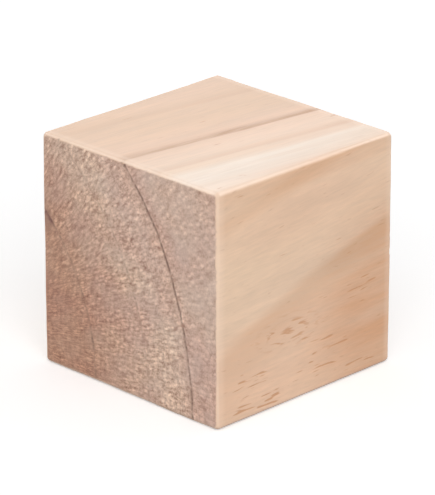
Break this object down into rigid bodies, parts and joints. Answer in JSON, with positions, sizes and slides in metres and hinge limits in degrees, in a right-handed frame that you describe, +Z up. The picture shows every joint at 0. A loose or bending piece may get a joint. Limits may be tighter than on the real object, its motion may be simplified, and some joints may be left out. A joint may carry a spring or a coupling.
{
  "type": "wooden cube",
  "caption": "Solid wooden cube with flat faces, end grain on two opposite faces, and softly eased edges and corners.",
  "frame": {"origin": "middle of the base, the face that the cube rests on", "axes": "+Z up, away from the base; X along the grain, so the -X and +X faces are end grain; the -Y, +Y, -Z and +Z faces are planed along the grain"},
  "size_m": [0.05, 0.05, 0.05],
  "materials": {
    "pine": "bare, planed and sanded"
  },
  "bodies": {
    "root": {"wooden_cube": "pine"}
  },
  "joints": []
}
